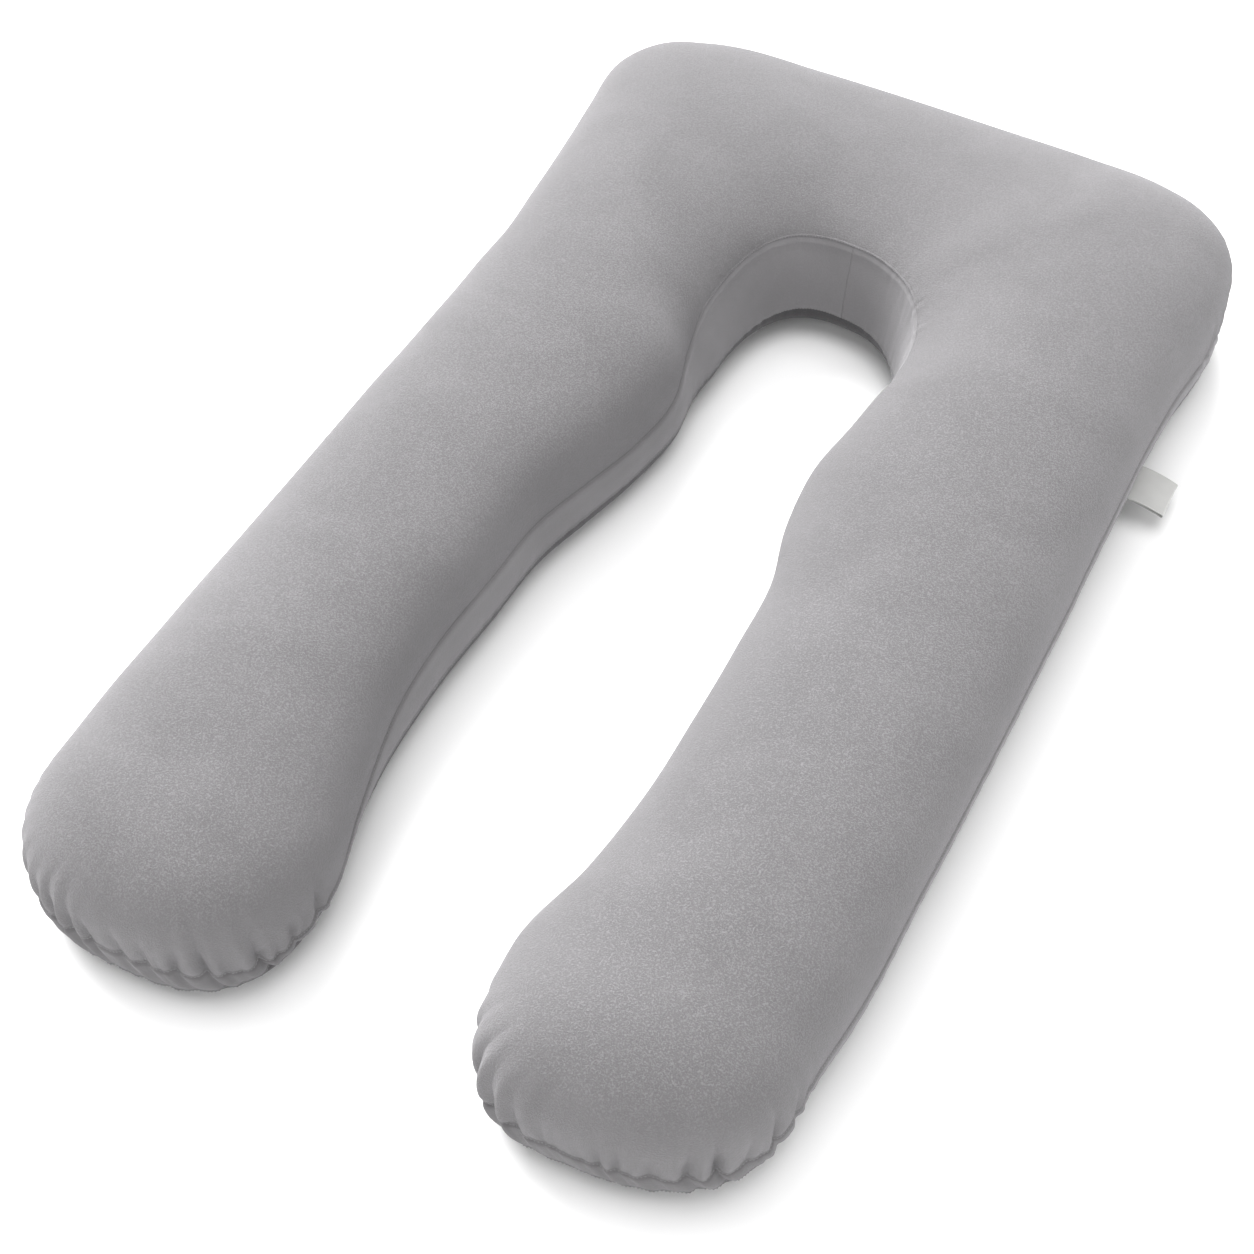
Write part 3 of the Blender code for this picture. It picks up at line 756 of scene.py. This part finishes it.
class Nodes:
    """Short ways to add and link shader nodes of one material."""

    def __init__(self, name):
        self.material = bpy.data.materials.new(name)
        self.material.use_nodes = True
        self.tree = self.material.node_tree
        self.shader = self.tree.nodes["Principled BSDF"]

    def add(self, kind, **settings):
        """A new node, with its inputs and settings by name."""
        node = self.tree.nodes.new(kind)
        for key, value in settings.items():
            if key in node.inputs:
                node.inputs[key].default_value = value
            else:
                setattr(node, key, value)
        return node

    def link(self, out, into):
        """Join one node's output to another's input."""
        self.tree.links.new(out, into)

    def drive(self, name, out):
        """Feed one input of the surface from a node's output."""
        self.link(out, self.shader.inputs[name])

    def fix(self, values):
        """Set inputs of the surface to plain values."""
        for name, value in values.items():
            self.shader.inputs[name].default_value = value

    def place(self):
        """The place on the piece, in metres."""
        return self.add("ShaderNodeTexCoord").outputs["Object"]

    def axes(self, vector):
        """The parts of a vector along X, Y and Z."""
        node = self.add("ShaderNodeSeparateXYZ")
        self.link(vector, node.inputs[0])
        return node.outputs

    def noise(self, coordinates, grain):
        """Noise of one grain."""
        settings = {"Scale": grain.scale, "Detail": grain.detail, "Distortion": grain.distortion}
        node = self.add("ShaderNodeTexNoise", **settings)
        self.link(coordinates, node.inputs["Vector"])
        return node.outputs["Fac"]

    def math(self, operation, a, b=None, clamp=False):
        """One step of arithmetic on outputs or numbers."""
        node = self.add("ShaderNodeMath", operation=operation, use_clamp=clamp)
        for value, socket in ((a, node.inputs[0]), (b, node.inputs[1])):
            if value is None:
                continue
            if isinstance(value, (int, float)):
                socket.default_value = value
            else:
                self.link(value, socket)
        return node.outputs[0]

    def fade(self, value, fade):
        """One range of values mapped onto another."""
        node = self.add("ShaderNodeMapRange")
        for key, number in zip(("From Min", "From Max", "To Min", "To Max"), fade):
            node.inputs[key].default_value = number
        self.link(value, node.inputs["Value"])
        return node.outputs["Result"]

    def mix(self, factor, a, b):
        """Two colours mixed; the node's own colour sockets are its inputs 6 and 7 and its output 2."""
        node = self.add("ShaderNodeMix", data_type="RGBA")
        self.link(factor, node.inputs["Factor"])
        for value, socket in ((a, node.inputs[6]), (b, node.inputs[7])):
            if isinstance(value, tuple):
                socket.default_value = (*value, 1)
            else:
                self.link(value, socket)
        return node.outputs[2]

    def bump(self, height, relief, share=1.0, before=None):
        """Relief from a height, over an earlier one where there is one."""
        node = self.add("ShaderNodeBump", Strength=relief.strength * share, Distance=relief.distance)
        self.link(height, node.inputs["Height"])
        if before is not None:
            self.link(before, node.inputs["Normal"])
        return node.outputs["Normal"]


def shaded(colour, share):
    """A colour made lighter or darker."""
    return tuple(share * part for part in colour)


def strip_join(n, along):
    """The line where the strip's two ends are joined: 1 on the line and 0 away from it."""
    off = n.math("ABSOLUTE", n.math("SUBTRACT", along["X"], JOIN_X + float(PLAN_ORIGIN[0])))
    across = n.fade(off, Fade(0.0, JOIN_WIDTH, 1.0, 0.0))
    started = n.math("MULTIPLY", across, n.fade(along["Y"], JOIN_START))
    return n.math("MULTIPLY", started, n.fade(along["Y"], JOIN_END))


def plush_material(name, nap, painted_shading=1.0, strip=False):
    """Short grey plush: a squiggly nap of worm-like tufts over fine fibre, with soft brushed patches."""
    n = Nodes(name)
    place = n.place()
    along = n.axes(place)
    facing = n.axes(n.add("ShaderNodeNewGeometry").outputs["Normal"])
    worm = n.math("SINE", n.math("MULTIPLY", n.noise(place, NAP), 2 * np.pi * NAP_LINES))
    fibre = n.noise(place, FIBRE)
    brushed = n.noise(place, BRUSHED)
    contrast = n.math("MULTIPLY", n.fade(facing["Z"], NAP_BY_FACING_UP), n.fade(along["Y"], NAP_BY_Y))
    contrast = n.math("MULTIPLY", contrast, n.fade(facing["X"], NAP_BY_FACING_RIGHT))
    contrast = n.math("MULTIPLY", contrast, NAP_CONTRAST * nap)
    squiggle = n.math("MULTIPLY", worm, contrast)
    grain = n.math("MULTIPLY", n.math("SUBTRACT", fibre, 0.5), FIBRE_CONTRAST)
    patches = n.math("MULTIPLY", n.math("SUBTRACT", brushed, 0.5), BRUSHED_CONTRAST)
    tone = n.math("ADD", n.math("ADD", n.math("ADD", squiggle, grain), patches), 0.5, clamp=True)
    # Both tones are scaled by one factor per panel: below 1 it paints shade, above 1 it paints light.
    colour = n.mix(tone, shaded(COVER_DARK, painted_shading), shaded(COVER_LIGHT, painted_shading))
    normal = n.bump(worm, NAP_RELIEF, nap, n.bump(fibre, FIBRE_RELIEF))
    if strip:
        join = strip_join(n, along)
        # Round the feet the strip is darkened towards the darkest tone as painted shade.
        colour = n.mix(n.fade(along["Y"], FOOT_PAINTED_SHADE), colour, COVER_DARK)
        colour = n.mix(n.math("MULTIPLY", join, JOIN_DARKNESS), colour, COVER_DARK)
        normal = n.bump(n.math("SUBTRACT", 1.0, join), JOIN_RELIEF, before=normal)
    n.drive("Base Color", colour)
    n.drive("Normal", normal)
    n.drive("Roughness", n.fade(fibre, PLUSH_ROUGHNESS))
    n.fix(PLUSH_SURFACE)
    return n.material


def thread_material():
    """Spun grey thread with a fine twist."""
    n = Nodes("thread")
    twist = n.noise(n.place(), TWIST)
    n.drive("Base Color", n.mix(twist, THREAD_COLOUR, shaded(THREAD_COLOUR, THREAD_LIGHT)))
    n.drive("Normal", n.bump(twist, TWIST_RELIEF))
    n.drive("Roughness", n.fade(twist, THREAD_ROUGHNESS))
    return n.material


def satin_material():
    """White satin ribbon with a fine rib and slight unevenness."""
    n = Nodes("satin_ribbon")
    place = n.place()
    rib = n.add("ShaderNodeTexWave", Scale=RIB_SCALE, Distortion=RIB_DISTORTION, bands_direction="X")
    n.link(place, rib.inputs["Vector"])
    cloud = n.noise(place, LABEL_CLOUD)
    n.drive("Base Color", n.mix(cloud, shaded(LABEL_COLOUR, LABEL_SHADE), LABEL_COLOUR))
    n.drive("Normal", n.bump(rib.outputs["Fac"], RIB_RELIEF))
    n.drive("Roughness", n.fade(cloud, LABEL_ROUGHNESS))
    n.fix({"Sheen Weight": LABEL_SHEEN})
    return n.material


def floor_material():
    """A clean white sweep with barely visible unevenness."""
    n = Nodes("white_sweep")
    cloud = n.noise(n.place(), FLOOR_CLOUD)
    n.drive("Base Color", n.mix(cloud, shaded(FLOOR_COLOUR, FLOOR_SHADE), FLOOR_COLOUR))
    n.fix({"Roughness": 1.0, "Specular IOR Level": 0.0})
    return n.material


def build_pillow():
    """The cover's three panels, the stitching of both seams and the label."""
    grid, normals, owner, spine_count = cover_grid()
    crown = plush_material("plush_crown", 1.0)
    # The strip's plush is lightened as painted light, and darkened round the feet as painted shade.
    smooth = plush_material("plush_strip_painted_light_and_shade", SMOOTH_NAP, STRIP_PAINTED_LIGHT, strip=True)
    # The bottom panel's plush is darkened as painted shade.
    underside = plush_material("plush_underside_painted_shade", SMOOTH_NAP, UNDERSIDE_PAINTED_SHADE)
    thread = thread_material()
    strip_rows = grid[LOWER_ROW : UPPER_ROW + 1]
    top = add_object(panel_mesh("top_panel", grid[UPPER_ROW:], owner, spine_count, -1), crown)
    strip = add_object(panel_mesh("side_strip", strip_rows, owner, spine_count, None), smooth)
    bottom = add_object(panel_mesh("bottom_panel", grid[: LOWER_ROW + 1], owner, spine_count, 0), underside)
    upper = add_object(stitch_mesh("upper_stitches", grid[UPPER_ROW], normals[UPPER_ROW]), thread)
    lower = add_object(stitch_mesh("lower_stitches", grid[LOWER_ROW], normals[LOWER_ROW]), thread)
    label = add_object(label_mesh(grid, spine_count), satin_material())
    thicken = label.modifiers.new("thickness", "SOLIDIFY")
    thicken.thickness = LABEL_THICKNESS
    thicken.offset = 0
    for piece in (top, strip, bottom, upper, lower):
        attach(piece, "root")
    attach(label, "root")
    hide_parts("pillow")
    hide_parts("pillow")
    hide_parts("pillow")
    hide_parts("care_label")


def build_floor():
    """A wide white floor, which the pillow lies on."""
    mesh = bpy.data.meshes.new("floor")
    corners = [(x * FLOOR_HALF, y * FLOOR_HALF, 0) for x, y in ((-1, -1), (1, -1), (1, 1), (-1, 1))]
    mesh.from_pydata(corners, [], [(0, 1, 2, 3)])
    floor = add_object(mesh, floor_material())
    floor.location.z = -FLOOR_GAP


def build_light():
    """A faint white surround and broad soft lights; the strongest comes from behind on the left."""
    world = bpy.data.worlds.new("surround")
    world.use_nodes = True
    sky = world.node_tree.nodes["Background"]
    sky.inputs["Color"].default_value = (1.0, 1.0, 1.0, 1)
    sky.inputs["Strength"].default_value = SURROUND
    bpy.context.scene.world = world
    for light in LIGHTS:
        data = bpy.data.lights.new(light.name, "SUN")
        data.energy = light.strength
        data.angle = np.radians(LIGHT_SPREAD)
        lamp = bpy.data.objects.new(light.name, data)
        lamp.rotation_mode = "QUATERNION"
        lamp.rotation_quaternion = Vector(light.towards).to_track_quat("Z", "Y")
        bpy.context.scene.collection.objects.link(lamp)


def build_camera():
    """The photograph's camera."""
    pitch = np.radians(CAMERA_PITCH)
    yaw = np.radians(CAMERA_YAW)
    back = Vector((np.sin(yaw) * np.cos(pitch), -np.cos(yaw) * np.cos(pitch), np.sin(pitch)))
    target = Vector(CAMERA_TARGET) + Vector((*PLAN_ORIGIN, 0))
    data = bpy.data.cameras.new("camera")
    data.sensor_width = SENSOR
    data.lens = FOCAL_PIXELS * SENSOR / PHOTO_SIZE
    data.clip_end = CAMERA_CLIP
    camera = bpy.data.objects.new("camera", data)
    camera.rotation_mode = "QUATERNION"
    camera.location = target + back * CAMERA_DISTANCE
    camera.rotation_quaternion = back.to_track_quat("Z", "Y")
    bpy.context.scene.collection.objects.link(camera)
    bpy.context.scene.camera = camera


build_camera()
build_light()
build_floor()
build_pillow()
bpy.context.scene.view_settings.view_transform = "Standard"
